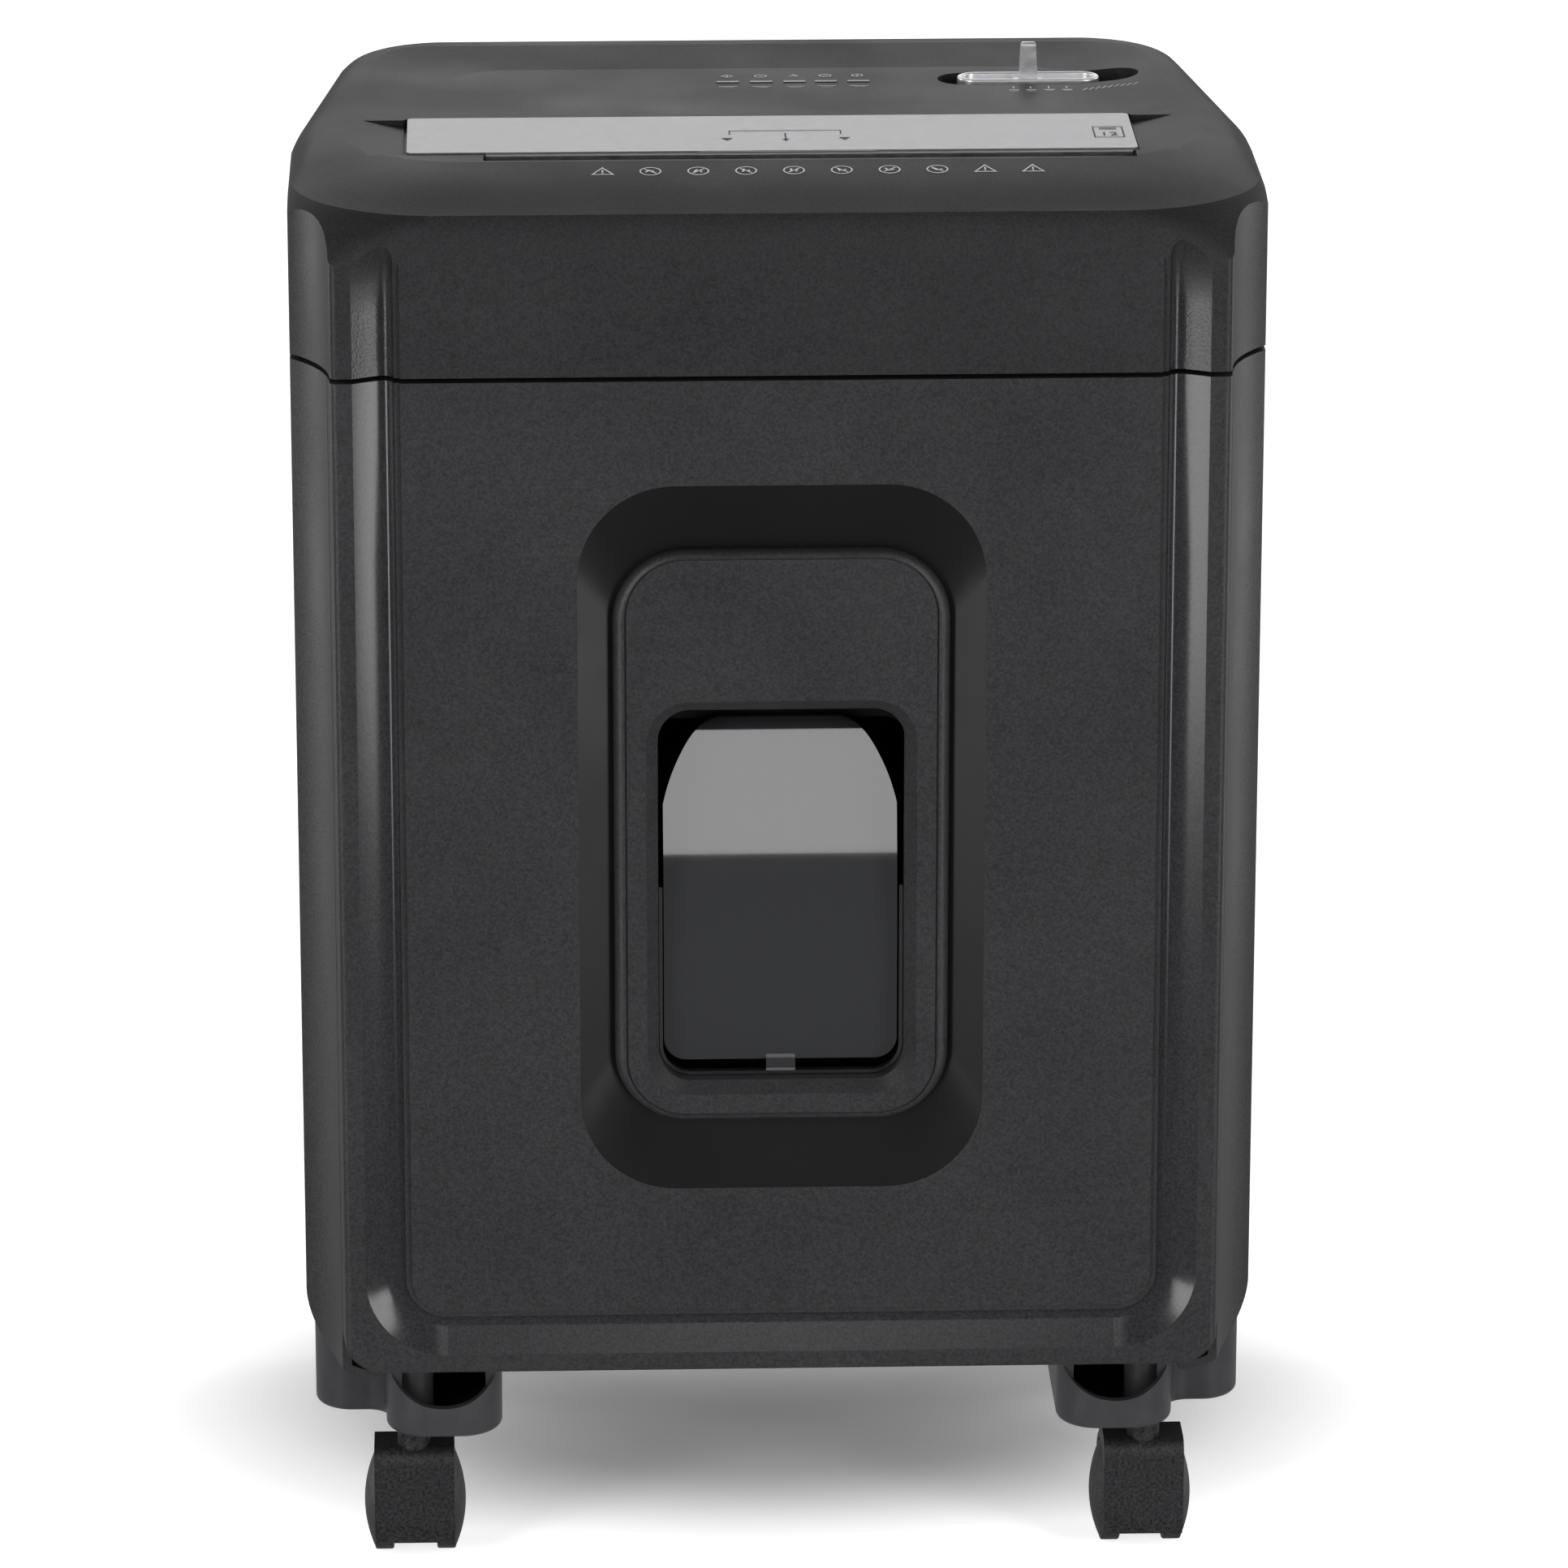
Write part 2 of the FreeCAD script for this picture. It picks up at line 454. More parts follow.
# ---------------------------------------------------------------- head
def head_form(inset=0.0):
    """The head's outer form, or the same form moved in. Each row is its height, front y, side x, back y,
    front and back corner radius, and the angle by which the sides narrow to the back."""
    below = [(446.0, -130.0, 174.8, 127.0, 8.0, 28.0, 5.0), (464.0, -126.6, 171.4, 125.4, 17.0, 28.0, 6.4),
             (477.0, -122.4, 168.5, 123.8, 28.0, 28.0, 7.3), (485.0, -119.2, 166.5, 122.2, 39.5, 28.0, 7.8),
             (489.0, -117.0, 164.9, 121.0, 46.0, 28.0, 7.8),
             (CREASE_Z, -115.4, 163.9, 120.2, 50.0, 28.0, 7.8)]
    above = [below[-1], (493.5, -103.5, 161.4, 118.2, 50.0, 27.0, 7.8),
             (496.0, -90.5, 158.0, 115.6, 50.0, 26.0, 7.8), (497.6, -79.0, 153.5, 112.8, 47.0, 25.0, 7.8),
             (TOP_Z, -71.5, 147.0, 109.0, 43.0, 24.0, 7.8)]
    lofts = []
    for rows in (below, above):
        wires = [tapered_wire(x, front, back, rf, rb, taper, inset, z)
                 for z, front, x, back, rf, rb, taper in rows]
        lofts.append(Part.makeLoft(wires, True, False))
    z, front, x, back, rf, rb, taper = below[0]
    foot = Part.Face(tapered_wire(x, front, back, rf, rb, taper, inset, HEAD_Z0 - 1))
    return foot.extrude(V(0, 0, z - HEAD_Z0 + 1)).fuse(lofts[0]).fuse(lofts[1])


def head_cover():
    cover = body_block(0, HEAD_Z0, TOP_Z + 2).common(head_form())
    skin = WALL + 0.2
    cavity = body_prism(skin, HEAD_Z0 - 1, HEAD_ROOF_Z).common(head_form(skin))
    for x0 in (125.0, -147.0):
        cavity = cavity.cut(box(x0, x0 + 22, FRONT_Y, FRONT_Y + 8, HEAD_Z0 - 2, TOP_Z))
    cover = cover.cut(cavity)
    cover = cover.cut(plan_prism(-138, 138, -98, 100, 22, HEAD_ROOF_Z - 4, TRAY_TOP_Z))
    dish = Part.makeLoft([plan_wire(-146, 146, -7, 108, 6, 26, TOP_Z + 0.6),
                          plan_wire(-112, 112, -6, 78, 5, 22, DISH_Z)], True, True)
    cover = cover.cut(dish)
    for piece in head_flutes():
        cover = cover.cut(piece)
    tools = [plan_prism(PLATE_X0 - 1.2, PLATE_X1 + 1.2, PLATE_Y0 - 0.2, PLATE_Y1 + 1.4, 2.0, DISH_Z,
                        TOP_Z + 5),
             box(SLOT_X0, SLOT_X1, SLOT_Y0, SLOT_Y1 + 2.0, HEAD_ROOF_Z - 4, TOP_Z + 5),
             stadium(SWITCH_X, SWITCH_Y, SWITCH_HALF_L, SWITCH_HALF_W, HEAD_ROOF_Z - 4, TOP_Z + 5)]
    tools += [box(x - 4.0, x + 4.0, LAMP_Y - 1.1, LAMP_Y + 1.1, HEAD_ROOF_Z - 4, TOP_Z) for x in LAMP_XS]
    for x_end, way in ((PLATE_X0 - 1.0, -1), (PLATE_X1 + 1.0, 1)):
        scoop = [V(x_end, -60, DISH_Z + 0.8), V(x_end + way * 15, -60, TOP_Z + 0.1),
                 V(x_end + way * 15, -60, TOP_Z + 3), V(x_end, -60, TOP_Z + 3), V(x_end, -60, DISH_Z + 0.8)]
        tools.append(Part.Face(Part.makePolygon(scoop)).extrude(V(0, 50, 0)))
    tools += [box(x - 1.6, x + 1.6, BACK_Y - 8, BACK_Y + 1, 446, 474) for x in range(-54, 66, 9)]
    tools.append(rod_y(11.0, BACK_Y - 8, BACK_Y + 1, GLAND_X, GLAND_Z))
    for tool in tools:
        cover = cover.cut(tool)
    posts = [rod_z(4.4, HEAD_SEAT_Z + 0.2, HEAD_ROOF_Z + 3, x, y) for x, y in head_screw_places()]
    holes = [rod_z(1.9, HEAD_SEAT_Z - 1, HEAD_SEAT_Z + 4, x, y) for x, y in head_screw_places()]
    return fuse([cover] + posts).cut(fuse(holes))


def head_base():
    """The tray under the motor and cutters, with a long outlet below the cutters."""
    tray = body_prism(4.6, 386, HEAD_SEAT_Z).common(box(-200, 200, -111.2, 200, 380, 450))
    hollow = body_prism(7.0, 388.5, 450).common(box(-200, 200, -109.0, 200, 380, 460))
    outlet = box(-106, 126, -96, -34, 380, 395)
    tongue_way = box(133.0, 143.0, -113, -107, TONGUE_Z - 4, TONGUE_Z + 4)
    tray = tray.cut(hollow).cut(outlet).cut(tongue_way)
    seats = [rod_z(4.0, 388.5, HEAD_SEAT_Z, x, y) for x, y in head_screw_places()]
    holes = [rod_z(1.9, 380, 450, x, y) for x, y in head_screw_places()]
    return fuse([tray] + seats).cut(fuse(holes))


def head_screw_places():
    return [(-155.5, -66), (155.5, -66), (-141.5, 99), (141.5, 99)]


def head_screws():
    screws = []
    for x, y in head_screw_places():
        screws.append(fuse([rod_z(3.6, 383.4, 386, x, y), rod_z(1.8, 386, 446, x, y)]))
    return Part.makeCompound(screws)


def feed_plate():
    """The metal plate behind the throat, with a rolled front edge and a small guide for cards."""
    top = plan_prism(PLATE_X0, PLATE_X1, PLATE_Y0 + 1.0, PLATE_Y1, 2.0, PLATE_Z - 2.2, PLATE_Z)
    flange = box(SLOT_X0 + 0.8, SLOT_X1 - 0.8, PLATE_Y0, PLATE_Y0 + 1.6, PLATE_Z - 10, PLATE_Z - 1.2)
    roll = rod_x(1.3, SLOT_X0 + 0.8, SLOT_X1 - 0.8, PLATE_Y0 + 1.3, PLATE_Z - 1.3)
    tongue = box(-26, 34, PLATE_Y0 - 1.2, PLATE_Y0 + 1.5, PLATE_Z - 8, PLATE_Z - 0.9)
    tongue_roll = rod_x(1.0, -26, 34, PLATE_Y0 - 0.2, PLATE_Z - 1.0)
    return fuse([top, flange, roll, tongue, tongue_roll])


def paper_chute():
    """Two guide walls that lead the sheets from the throat down to the cutters."""
    block = box(SLOT_X0 - 5, SLOT_X1 + 5, -76, -54, 447.5, 488.0)
    mouth = [(-70.5, 490), (-60.0, 490), (-62.2, 445), (-68.2, 445), (-70.5, 490)]
    slot = Part.Face(Part.makePolygon([V(SLOT_X0, y, z) for y, z in mouth]))
    slot = slot.extrude(V(SLOT_X1 - SLOT_X0, 0, 0))
    lever_gap = box(115.6, 120.4, -62.5, -50, 440, 476)
    return block.cut(slot).cut(lever_gap)


def paper_lever():
    """The finger that incoming paper pushes aside, on a cross pin behind the chute."""
    finger = [V(116, LEVER_Y, LEVER_Z + 3), V(116, LEVER_Y - 4, LEVER_Z + 2), V(116, -67.0, 456),
              V(116, -66.0, 453.5), V(116, LEVER_Y, LEVER_Z - 3), V(116, LEVER_Y, LEVER_Z + 3)]
    arm = Part.Face(Part.makePolygon(finger)).extrude(V(4, 0, 0))
    tail = box(116, 120, LEVER_Y, LEVER_Y + 12, LEVER_Z - 1.5, LEVER_Z + 1.5)
    hub = rod_x(4.0, 116, 120, LEVER_Y, LEVER_Z)
    pin = rod_x(1.5, 113.4, 122.6, LEVER_Y, LEVER_Z)
    return fuse([arm, tail, hub, pin])


def lever_bracket():
    cheeks = []
    for x in (112.6, 121.0):
        cheek = box(x, x + 2.4, -54.0, LEVER_Y + 5, 462, 476)
        cheeks.append(cheek.cut(rod_x(1.56, x - 1, x + 3.4, LEVER_Y, LEVER_Z)))
    return cheeks


def switch_tray():
    outer = stadium(SWITCH_X, SWITCH_Y, SWITCH_HALF_L + 2.5, SWITCH_HALF_W + 2.5, 486.0, 491.6)
    inner = stadium(SWITCH_X, SWITCH_Y, SWITCH_HALF_L, SWITCH_HALF_W, 487.8, 500)
    slit = stadium(SLIDER_X + 3.1, SWITCH_Y, 14.5, 2.4, 480, 500)
    return outer.cut(inner).cut(slit)


def switch_slider():
    """The metal slider: a long rounded plate with a raised rim and a thin upright tab."""
    z0, z1 = 488.4, 496.4
    plate = stadium(SLIDER_X, SWITCH_Y, SLIDER_HALF_L, SLIDER_HALF_W, z0, z1)
    dish = stadium(SLIDER_X, SWITCH_Y, SLIDER_HALF_L - 2.0, SLIDER_HALF_W - 2.0, z1 - 2.2, z1 + 1)
    plate = soften(plate.cut(dish), 0.7, lambda e: e.BoundBox.ZMin > z1 - 0.05)
    y0, y1 = SWITCH_Y - 1.6, SWITCH_Y + 1.6
    tab = [V(SLIDER_X - 3.4, y0, z1 - 3), V(SLIDER_X + 3.4, y0, z1 - 3), V(SLIDER_X + 2.6, y0, 508.5),
           V(SLIDER_X - 2.6, y0, 508.5), V(SLIDER_X - 3.4, y0, z1 - 3)]
    tab = Part.Face(Part.makePolygon(tab)).extrude(V(0, y1 - y0, 0))
    tab = soften(tab, 1.2, lambda e: e.BoundBox.ZMin > 508)
    bar = box(SLIDER_X - 5, SLIDER_X + 5, SWITCH_Y - 6, SWITCH_Y + 6, z1 - 3.5, z1 - 1.2)
    stem = box(SLIDER_X - 2, SLIDER_X + 2, SWITCH_Y - 1.8, SWITCH_Y + 1.8, 479.5, z0 + 1)
    return fuse([plate, tab, bar, stem])


def slide_switch():
    body = box(SWITCH_X - 26, SWITCH_X + 26, SWITCH_Y - 9, SWITCH_Y + 9, 466, 485.9)
    return body.cut(stadium(SLIDER_X + 3.1, SWITCH_Y, 14.5, 2.6, 476, 490))


def indicator_lenses():
    lenses = [box(x - 3.9, x + 3.9, LAMP_Y - 1, LAMP_Y + 1, 488.2, DISH_Z + 0.3) for x in LAMP_XS]
    return Part.makeCompound(lenses)


def indicator_board():
    board = box(-32, 50, LAMP_Y - 14, LAMP_Y + 14, 484.4, 486.0)
    lamps = [box(x - 2.4, x + 2.4, LAMP_Y - 1.3, LAMP_Y + 1.3, 486.0, 488.1) for x in LAMP_XS]
    plug = box(-29, -19, LAMP_Y - 9, LAMP_Y + 3, 478.5, 484.4)
    return fuse([board, plug] + lamps)


def control_board():
    board = box(20, 132, 18, 104, 398.0, 399.6)
    legs = [box(x, x + 5, y, y + 5, 388.5, 398.0) for x in (22, 125) for y in (20, 97)]
    relays = [box(30, 49, 26, 42, 399.6, 415), box(54, 73, 26, 42, 399.6, 415)]
    block = box(100, 126, 26, 38, 399.6, 411)
    coil = box(88, 112, 62, 84, 399.6, 420)
    cans = [rod_z(6, 399.6, 424, 40, 80), rod_z(4, 399.6, 414, 60, 84)]
    return fuse([board] + legs + relays + [block, coil] + cans)


def cord_gland():
    """The bushing where the mains lead leaves the back of the head; the lead isn't part of this model."""
    flange = rod_y(10.6, BACK_Y - 6, BACK_Y - 2.0, GLAND_X, GLAND_Z)
    neck = rod_y(8.0, BACK_Y - 2.0, BACK_Y - 0.2, GLAND_X, GLAND_Z)
    return fuse([flange, neck]).cut(rod_y(4.2, BACK_Y - 10, BACK_Y + 1, GLAND_X, GLAND_Z))


# ---------------------------------------------------------------- cutters
def cutting_disc(x, turn):
    """One steel disc with three hooked notches in its rim."""
    edges, notch = [], math.radians(16)
    for k in range(3):
        a0 = turn + k * 2 * math.pi / 3
        a1 = a0 + 2 * math.pi / 3 - notch

        def at(r, a):
            return V(x, r * math.cos(a), r * math.sin(a))
        edges.append(Part.Arc(at(CUT_R, a0), at(CUT_R, (a0 + a1) / 2), at(CUT_R, a1)).toShape())
        edges.append(Part.LineSegment(at(CUT_R, a1), at(CUT_HUB_R + 2, a1 + notch * 0.85)).toShape())
        edges.append(Part.LineSegment(at(CUT_HUB_R + 2, a1 + notch * 0.85),
                                      at(CUT_R, a1 + notch)).toShape())
    return Part.Face(Part.Wire(edges)).extrude(V(CUT_T, 0, 0))


def cutter(y, shift, left_end, right_end, way):
    pieces = [cutting_disc(CUT_X0 + shift + k * CUT_PITCH, way * math.radians(DISC_TURN * k))
              for k in range(CUT_N)]
    pieces.append(rod_x(CUT_HUB_R, CUT_X0 - 4, CUT_X0 + CUT_N * CUT_PITCH + 1.5, 0, 0))
    pieces.append(rod_x(CUT_SHAFT_R, left_end, right_end, 0, 0))
    shape = fuse(pieces)
    shape.translate(V(0, y, CUT_Z))
    return shape


def stripper_comb(way):
    """A bar with one finger between each two discs, which clears the strips off them."""
    y_cut, shift = (CUT_Y_A, 0.0) if way < 0 else (CUT_Y_B, CUT_PITCH / 2)
    bar_y = y_cut + way * 24.9
    bar = sorted((bar_y, bar_y - way * 3))
    finger = sorted((bar_y, y_cut + way * 15))
    pieces = [box(PLATE_L_X + PLATE_T, PLATE_R_X, *bar, 404, 446)]
    for k in range(CUT_N - 1):
        x = CUT_X0 + shift + k * CUT_PITCH + CUT_T + 0.5
        pieces.append(box(x, x + CUT_PITCH - CUT_T - 1.0, *finger, 410, 440))
    return fuse(pieces)


def gear_face(teeth, module, phase, x, backlash=0.16):
    """An involute spur gear's outline, square to X, with one tooth centred at the angle phase."""
    pitch_r = module * teeth / 2
    tip_r, root_r = pitch_r + 0.92 * module, pitch_r - 1.22 * module
    press = math.radians(20)
    base_r = pitch_r * math.cos(press)
    half = math.pi / (2 * teeth) - backlash / (2 * pitch_r)
    start_r = max(base_r, root_r + 0.05)
    steps = 5
    flank = []
    for k in range(steps):
        r = start_r + (tip_r - start_r) * k / (steps - 1)
        a = math.acos(min(1.0, base_r / r))
        flank.append((r, half + (math.tan(press) - press) - (math.tan(a) - a)))
    points = []
    for t in range(teeth):
        middle = phase + t * 2 * math.pi / teeth
        tooth = [(root_r, -flank[0][1])] + [(r, -a) for r, a in flank]
        tooth += [(r, a) for r, a in reversed(flank)] + [(root_r, flank[0][1])]
        points += [V(x, r * math.cos(middle + a), r * math.sin(middle + a)) for r, a in tooth]
    return Part.Face(Part.makePolygon(points + [points[0]]))


def spur_gear(teeth, module, phase, x0, x1, y, z, bore):
    gear = gear_face(teeth, module, phase, x0).extrude(V(x1 - x0, 0, 0))
    gear.translate(V(0, y, z))
    return gear.cut(rod_x(bore, x0 - 1, x1 + 1, y, z)) if bore else gear


def mesh_phase(phase, teeth, way, next_teeth):
    """The phase of the next gear, so that its gap faces this gear's tooth; way is the angle to it."""
    offset = (way - phase) / (2 * math.pi / teeth)
    return way + math.pi + (offset + 0.5) * 2 * math.pi / next_teeth


def gear_train():
    made = {}
    sync_phase = 0.0
    made["sync_gear_b"] = spur_gear(*SYNC, sync_phase, -123, -117, CUT_Y_B, CUT_Z, CUT_SHAFT_R)
    phase_a = mesh_phase(sync_phase, SYNC[0], math.pi, SYNC[0])
    made["sync_gear_a"] = spur_gear(*SYNC, phase_a, -123, -117, CUT_Y_A, CUT_Z, CUT_SHAFT_R)
    made["drive_gear"] = spur_gear(FINAL, 1.5, 0.0, -136, -127, CUT_Y_B, CUT_Z, CUT_SHAFT_R)
    phase_2 = mesh_phase(0.0, FINAL, WAY_2, SECOND_SMALL)
    small_2 = spur_gear(SECOND_SMALL, 1.5, phase_2, -136.5, -125.6, GEAR2_Y, GEAR2_Z, 0)
    large_2 = spur_gear(SECOND_LARGE, 1.25, 0.0, -125.6, -118, GEAR2_Y, GEAR2_Z, 0)
    bore_r = PIN_R + 0.06
    made["second_gear"] = fuse([small_2, large_2]).cut(rod_x(bore_r, -140, -110, GEAR2_Y, GEAR2_Z))
    phase_1 = mesh_phase(0.0, SECOND_LARGE, WAY_1, FIRST_SMALL)
    small_1 = spur_gear(FIRST_SMALL, 1.25, phase_1, -126, -117.5, GEAR1_Y, GEAR1_Z, 0)
    hub_1 = rod_x(6.5, -140.5, -126, GEAR1_Y, GEAR1_Z)
    large_1 = spur_gear(FIRST_LARGE, 1.0, 0.0, -146, -140.5, GEAR1_Y, GEAR1_Z, 0)
    made["first_gear"] = fuse([small_1, hub_1, large_1]).cut(rod_x(bore_r, -150, -110, GEAR1_Y, GEAR1_Z))
    phase_m = mesh_phase(0.0, FIRST_LARGE, WAY_M, PINION)
    pinion = spur_gear(PINION, 1.0, phase_m, -146.5, -139.5, MOTOR_Y, MOTOR_Z, 0)
    core = rod_x(19.0, MOTOR_X0 + 14, MOTOR_X1 - 26, MOTOR_Y, MOTOR_Z)
    commutator = rod_x(11.0, MOTOR_X1 - 22, MOTOR_X1 - 8, MOTOR_Y, MOTOR_Z)
    shaft = rod_x(4.0, -139.5, MOTOR_X1 + 22, MOTOR_Y, MOTOR_Z)
    made["motor_rotor"] = fuse([pinion, core, commutator, shaft])
    return made


def cooling_fan():
    x0, x1 = MOTOR_X1 + 6, MOTOR_X1 + 18
    hub = rod_x(9.0, x0, x1, MOTOR_Y, MOTOR_Z).cut(rod_x(4.0, x0 - 1, x1 + 1, MOTOR_Y, MOTOR_Z))
    blades = []
    for k in range(9):
        blade = box(x0 + 1, x1 - 1, 8.0, 26.0, -0.8, 0.8)
        blade.rotate(V(0, 0, 0), V(1, 0, 0), 40 * k)
        blade.translate(V(0, MOTOR_Y, MOTOR_Z))
        blades.append(blade)
    disc = rod_x(26.0, x0, x0 + 1.2, MOTOR_Y, MOTOR_Z).cut(rod_x(8.5, x0 - 1, x1, MOTOR_Y, MOTOR_Z))
    return fuse([hub, disc] + blades)


def motor_housing():
    can = rod_x(MOTOR_R, MOTOR_X0, MOTOR_X1, MOTOR_Y, MOTOR_Z)
    can = can.cut(rod_x(MOTOR_R - 2, MOTOR_X0 + 3, MOTOR_X1 - 3, MOTOR_Y, MOTOR_Z))
    spigot = rod_x(12.0, PLATE_L_X + PLATE_T, MOTOR_X0, MOTOR_Y, MOTOR_Z)
    can = fuse([can, spigot]).cut(rod_x(4.06, -130, 10, MOTOR_Y, MOTOR_Z))
    vents = []
    for k in range(8):
        slit = box(MOTOR_X1 - 20, MOTOR_X1 - 8, MOTOR_R - 4, MOTOR_R + 2, -2, 2)
        slit.rotate(V(0, 0, 0), V(1, 0, 0), 45 * k + 20)
        slit.translate(V(0, MOTOR_Y, MOTOR_Z))
        vents.append(slit)
    return can.cut(fuse(vents))


def motor_field():
    """The stator inside the can, with a gap of 1 mm round the rotor."""
    x0, x1 = MOTOR_X0 + 12, MOTOR_X1 - 24
    ring = rod_x(MOTOR_R - 2, x0, x1, MOTOR_Y, MOTOR_Z)
    return ring.cut(rod_x(20.0, x0 - 1, x1 + 1, MOTOR_Y, MOTOR_Z))


def thermal_cutout():
    top_z = MOTOR_Z + MOTOR_R
    body = box(MOTOR_X0 + 34, MOTOR_X0 + 50, MOTOR_Y - 8, MOTOR_Y + 8, top_z - 1.2, top_z + 4)
    return body.cut(rod_x(MOTOR_R, MOTOR_X0, MOTOR_X1, MOTOR_Y, MOTOR_Z))


def cutter_plate(x0, y1):
    plate = box(x0, x0 + PLATE_T, -106, y1, 394, 462)
    holes = [rod_x(CUT_SHAFT_R + 3, x0 - 1, x0 + 5, y, CUT_Z) for y in (CUT_Y_A, CUT_Y_B)]
    foot = box(x0, x0 + PLATE_T, -100, y1 - 6, 388.5, 394)
    return fuse([plate, foot]).cut(fuse(holes))


def cutter_plates():
    left = cutter_plate(PLATE_L_X, 88.0)
    pins = [rod_x(PIN_R - 0.5, PLATE_L_X - 1, PLATE_L_X + 5, GEAR2_Y, GEAR2_Z),
            rod_x(PIN_R - 0.5, PLATE_L_X - 1, PLATE_L_X + 5, GEAR1_Y, GEAR1_Z),
            rod_x(6.0, PLATE_L_X - 1, PLATE_L_X + 5, MOTOR_Y, MOTOR_Z)]
    return left.cut(fuse(pins)), cutter_plate(PLATE_R_X, -25.0)


def shaft_bushes():
    bushes = []
    for x0 in (PLATE_L_X, PLATE_R_X):
        for y in (CUT_Y_A, CUT_Y_B):
            bush = rod_x(CUT_SHAFT_R + 3, x0, x0 + PLATE_T, y, CUT_Z)
            bushes.append(bush.cut(rod_x(CUT_SHAFT_R + 0.05, x0 - 1, x0 + 9, y, CUT_Z)))
    return Part.makeCompound(bushes)


def tie_rods():
    places = [(-65.2, 398.5), (-30.0, 452.0), (-101.5, 452.0)]
    return Part.makeCompound([rod_x(3.5, PLATE_L_X + PLATE_T, PLATE_R_X, y, z) for y, z in places])


def gear_pins():
    pins = []
    for y, z, end in ((GEAR2_Y, GEAR2_Z, -148.0), (GEAR1_Y, GEAR1_Z, -148.0)):
        pins.append(fuse([rod_x(PIN_R, end, PLATE_L_X, y, z),
                          rod_x(PIN_R - 0.5, PLATE_L_X, PLATE_L_X + PLATE_T, y, z)]))
    return Part.makeCompound(pins)


def gear_cover():
    """The plastic plate that holds the outer ends of the gear pins."""
    plate = box(-151, -148, -88 + 6, 84, 394, 464)
    legs = [box(-148, PLATE_L_X, 76, 82, z, z + 8) for z in (396, 452)]
    return fuse([plate] + legs)


# ---------------------------------------------------------------- interlock

def interlock_switch():
    """The safety switch that cuts the power when the bin is out."""
    body = box(132.5, 143.5, -98, -85, TONGUE_Z - 6, TONGUE_Z + 6)
    return body.cut(rod_y(1.6, -99, -98 + 10, PLUNGER_X, TONGUE_Z))


def interlock_plunger():
    """The switch's push pin, 0.3 mm from the bin's tongue when the bin is home."""
    return rod_y(1.5, TONGUE_Y + 0.3, -98 + 10 - PLUNGER_TRAVEL - 0.4, PLUNGER_X, TONGUE_Z)


# ---------------------------------------------------------------- casters
def foot_outline(z):
    """Plan of one foot: a front lobe over the caster and a side lobe, joined by an S-curve."""
    p = [V(97, -50, z), V(97, -99, z), V(101.2, -108.8, z), V(111, -113, z), V(123.5, -113, z),
         V(133.3, -108.8, z), V(137.5, -99, z), V(137.5, -94, z), V(139.55, -89.05, z), V(144.5, -87, z),
         V(149.5, -87, z), V(158.69, -83.19, z), V(162.5, -74, z), V(162.5, -50, z)]
    edges = [Part.LineSegment(p[0], p[1]).toShape(), Part.Arc(p[1], p[2], p[3]).toShape(),
             Part.LineSegment(p[3], p[4]).toShape(), Part.Arc(p[4], p[5], p[6]).toShape(),
             Part.LineSegment(p[6], p[7]).toShape(), Part.Arc(p[7], p[8], p[9]).toShape(),
             Part.LineSegment(p[9], p[10]).toShape(), Part.Arc(p[10], p[11], p[12]).toShape(),
             Part.LineSegment(p[12], p[13]).toShape(), Part.LineSegment(p[13], p[0]).toShape()]
    return Part.Face(Part.Wire(edges))


def caster_foot():
    """The front right foot, still too tall at the top, where the cabinet's form is cut out of it."""
    solid = foot_outline(FOOT_Z0).extrude(V(0, 0, 36))
    solid = soften(solid, 2.5, lambda e: e.BoundBox.ZMax < FOOT_Z0 + 0.01)
    hollow = foot_outline(FOOT_Z0).makeOffset2D(-3.0)
    hollow.translate(V(0, 0, 4))
    hollow = hollow.extrude(V(0, 0, 40))
    lid = box(90, 170, -98, -40, 71, 100).fuse(box(141, 170, -140, -40, 71, 100))
    boss = rod_z(7.0, FOOT_Z0, CABINET_Z0, STEM_X, -STEM_Y)
    solid = solid.cut(hollow.cut(lid))
    solid = fuse([solid, boss])
    # the half-moon scoop in the front lobe
    mid, half, y = 117.3, 19.4, -125
    moon = Part.Arc(V(mid - half, y, 76), V(mid, y, 63), V(mid + half, y, 76)).toShape()
    lid_edges = [V(mid + half, y, 76), V(mid + half, y, 80), V(mid - half, y, 80), V(mid - half, y, 76)]
    edges = [moon] + [Part.LineSegment(a, b).toShape() for a, b in zip(lid_edges, lid_edges[1:])]
    solid = solid.cut(Part.Face(Part.Wire(edges)).extrude(V(0, 19, 0)))
    return solid.cut(rod_z(STEM_R + 0.05, FOOT_Z0 - 1, 72, STEM_X, -STEM_Y))


def caster_feet():
    """All four feet, trimmed to the cabinet; the front two also reach up behind the front panel."""
    block = cabinet_block()
    behind = block.common(box(-170, 170, FLOOR_Y0, 200, 0, 200))
    sides = block.cut(floor_gap().fuse(box(-146, 146, FRONT_Y, FLOOR_Y0, 99, 200)))
    over = box(-170, 170, FRONT_Y - 10, FLOOR_Y0, CABINET_Z0 + 3.4, 200)
    feet = {}
    for corner, foot in four_corners(caster_foot()).items():
        cutters = [behind, sides, over] if "front" in corner else [block]
        for cutter_shape in cutters:
            foot = foot.cut(cutter_shape)
        feet[corner] = foot
    return feet


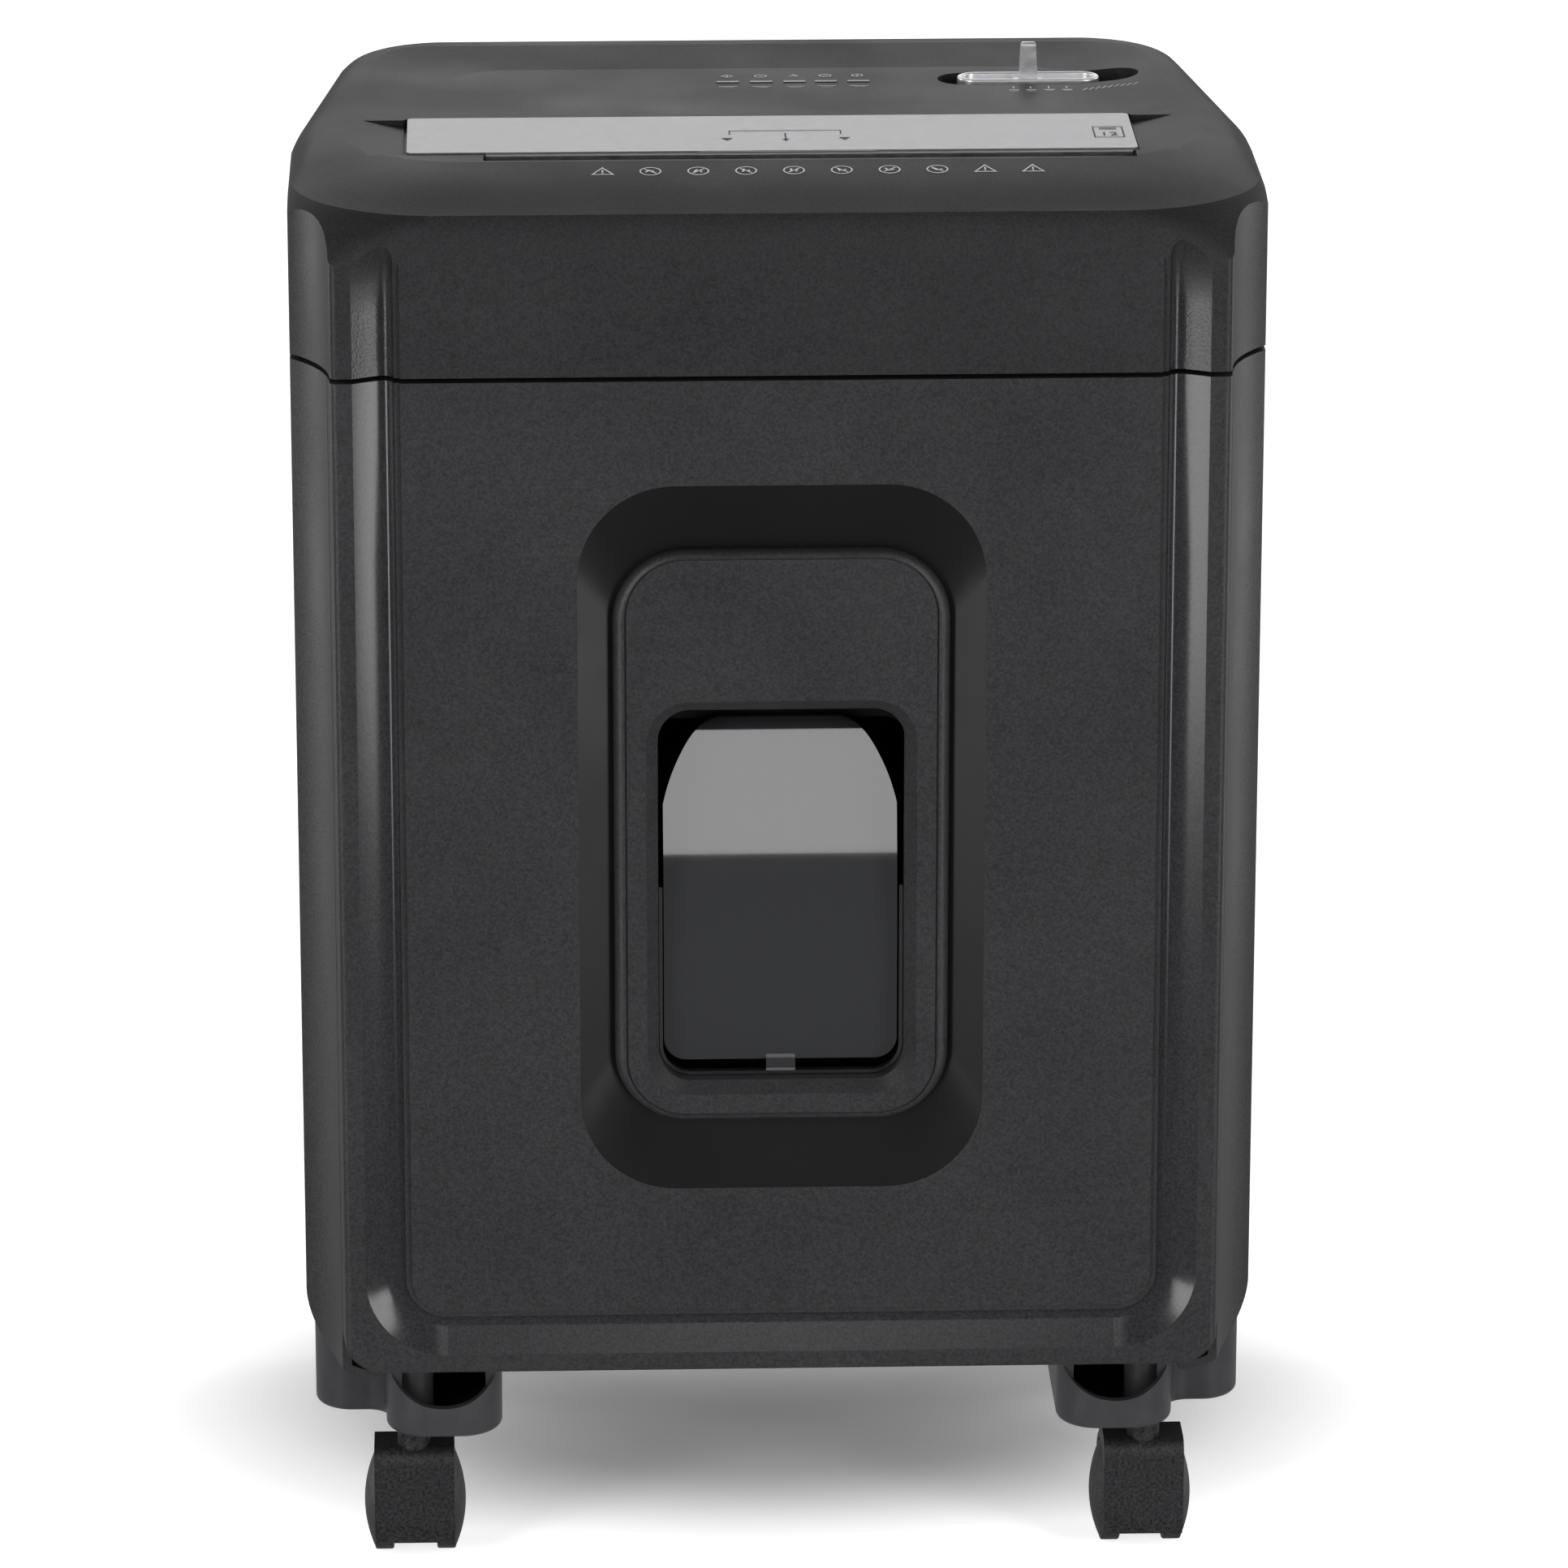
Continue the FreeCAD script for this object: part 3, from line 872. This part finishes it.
def caster_hood():
    """The swivelling part: hood, web and stem, here for the front right caster."""
    axle_y, z = -STEM_Y + CASTER_TRAIL, WHEEL_R
    front_y, low, high, round_r = axle_y - HOOD_R, math.radians(28), math.radians(63), 6.0

    def on_rim(angle):
        return V(0, axle_y + HOOD_R * math.cos(angle), z + HOOD_R * math.sin(angle))
    start, lowest = V(0, front_y, z), on_rim(math.pi + low)
    inner = [V(0, axle_y - 6, 5.0), V(0, axle_y + 8, 11.0)]
    top_y, top_z = front_y + round_r, HOOD_TOP_Z
    diagonal = round_r * math.sqrt(0.5)
    shoulder = [V(0, front_y, top_z - round_r), V(0, top_y - diagonal, top_z - round_r + diagonal),
                V(0, top_y, top_z)]
    top_end = V(0, axle_y - 2, top_z)
    outline = [Part.LineSegment(shoulder[0], start).toShape(),
               Part.Arc(start, on_rim(math.pi + low / 2), lowest).toShape(),
               Part.LineSegment(lowest, inner[0]).toShape(), Part.LineSegment(inner[0], inner[1]).toShape(),
               Part.LineSegment(inner[1], on_rim(0)).toShape(),
               Part.Arc(on_rim(0), on_rim(high / 2), on_rim(high)).toShape(),
               Part.LineSegment(on_rim(high), top_end).toShape(),
               Part.LineSegment(top_end, shoulder[2]).toShape(), Part.Arc(shoulder[2], shoulder[1], shoulder[0]).toShape()]
    hood = Part.Face(Part.Wire(outline)).extrude(V(HOOD_HALF_W, 0, 0))
    hood = hood.cut(rod_x(WHEEL_R + 0.6, 2.5, HOOD_HALF_W + 1, axle_y, z))
    hood = fuse([hood, flip_x(hood)])
    hood.translate(V(STEM_X, 0, 0))
    collar = rod_z(COLLAR_R, HOOD_TOP_Z - 1, FOOT_Z0 - 0.5, STEM_X, -STEM_Y)
    stem = rod_z(STEM_R, FOOT_Z0 - 2, 69.0, STEM_X, -STEM_Y)
    return fuse([hood, collar, stem]).cut(rod_x(AXLE_R + 0.06, STEM_X - 20, STEM_X + 20, axle_y, z))


def caster_wheels():
    """Two wheels with domed faces on one axle, here for the front right caster."""
    axle_y = -STEM_Y + CASTER_TRAIL
    tyre = rod_x(WHEEL_R, TYRE_X0, WHEEL_FACE_X, 0, 0)
    tyre = soften(tyre, 0.8, lambda e: e.BoundBox.ZLength > 2 * WHEEL_R - 0.1 and e.BoundBox.XLength < 0.1)
    dome_r = WHEEL_R - 0.9
    ball_r = (dome_r ** 2 + WHEEL_DOME ** 2) / (2 * WHEEL_DOME)
    ball = Part.makeSphere(ball_r, V(WHEEL_FACE_X + WHEEL_DOME - ball_r, 0, 0))
    dome = ball.common(rod_x(dome_r, WHEEL_FACE_X - 1, WHEEL_FACE_X + WHEEL_DOME + 1, 0, 0))
    wheel = fuse([tyre, dome, rod_x(9.0, 3.0, TYRE_X0 + 1, 0, 0)])
    pair = fuse([wheel, flip_x(wheel), rod_x(AXLE_R, -3.5, 3.5, 0, 0)])
    pair.translate(V(STEM_X, axle_y, WHEEL_R))
    return pair


def four_corners(shape):
    return {"front_right": shape, "front_left": flip_x(shape), "rear_right": flip_y(shape),
            "rear_left": flip_x(flip_y(shape))}


# ---------------------------------------------------------------- everything
def main():
    os.makedirs("parts", exist_ok=True)
    save(cabinet_shell(), "cabinet_shell")
    save(bin_rail(1), "bin_rail_right")
    save(bin_rail(-1), "bin_rail_left")
    for maker in (bin_tub, bin_screws, bin_front_panel, window_surround, window_plate, window_frame,
                  window_pane, head_cover, head_base, head_screws, feed_plate, switch_tray, switch_slider, slide_switch,
                  indicator_lenses, indicator_board, control_board, cord_gland, cooling_fan, motor_housing,
                  motor_field, thermal_cutout, shaft_bushes, tie_rods, gear_pins, gear_cover, interlock_switch,
                  interlock_plunger, paper_lever):
        save(maker(), maker.__name__)
    save(fuse([paper_chute()] + lever_bracket()), "paper_chute")
    save(cutter(CUT_Y_A, 0.0, -123.5, PLATE_R_X + 6, 1), "cutter_a")
    save(cutter(CUT_Y_B, CUT_PITCH / 2, -138.0, PLATE_R_X + 6, -1), "cutter_b")
    save(stripper_comb(-1), "stripper_comb_front")
    save(stripper_comb(1), "stripper_comb_rear")
    left, right = cutter_plates()
    save(left, "cutter_plate_left")
    save(right, "cutter_plate_right")
    for node, gear in gear_train().items():
        save(gear, node)
    casters = {"caster_foot": caster_feet(), "caster_hood": four_corners(caster_hood()),
               "caster_wheels": four_corners(caster_wheels())}
    for node, corners in casters.items():
        for corner, shape in corners.items():
            save(shape, "%s_%s" % (node, corner))


main()
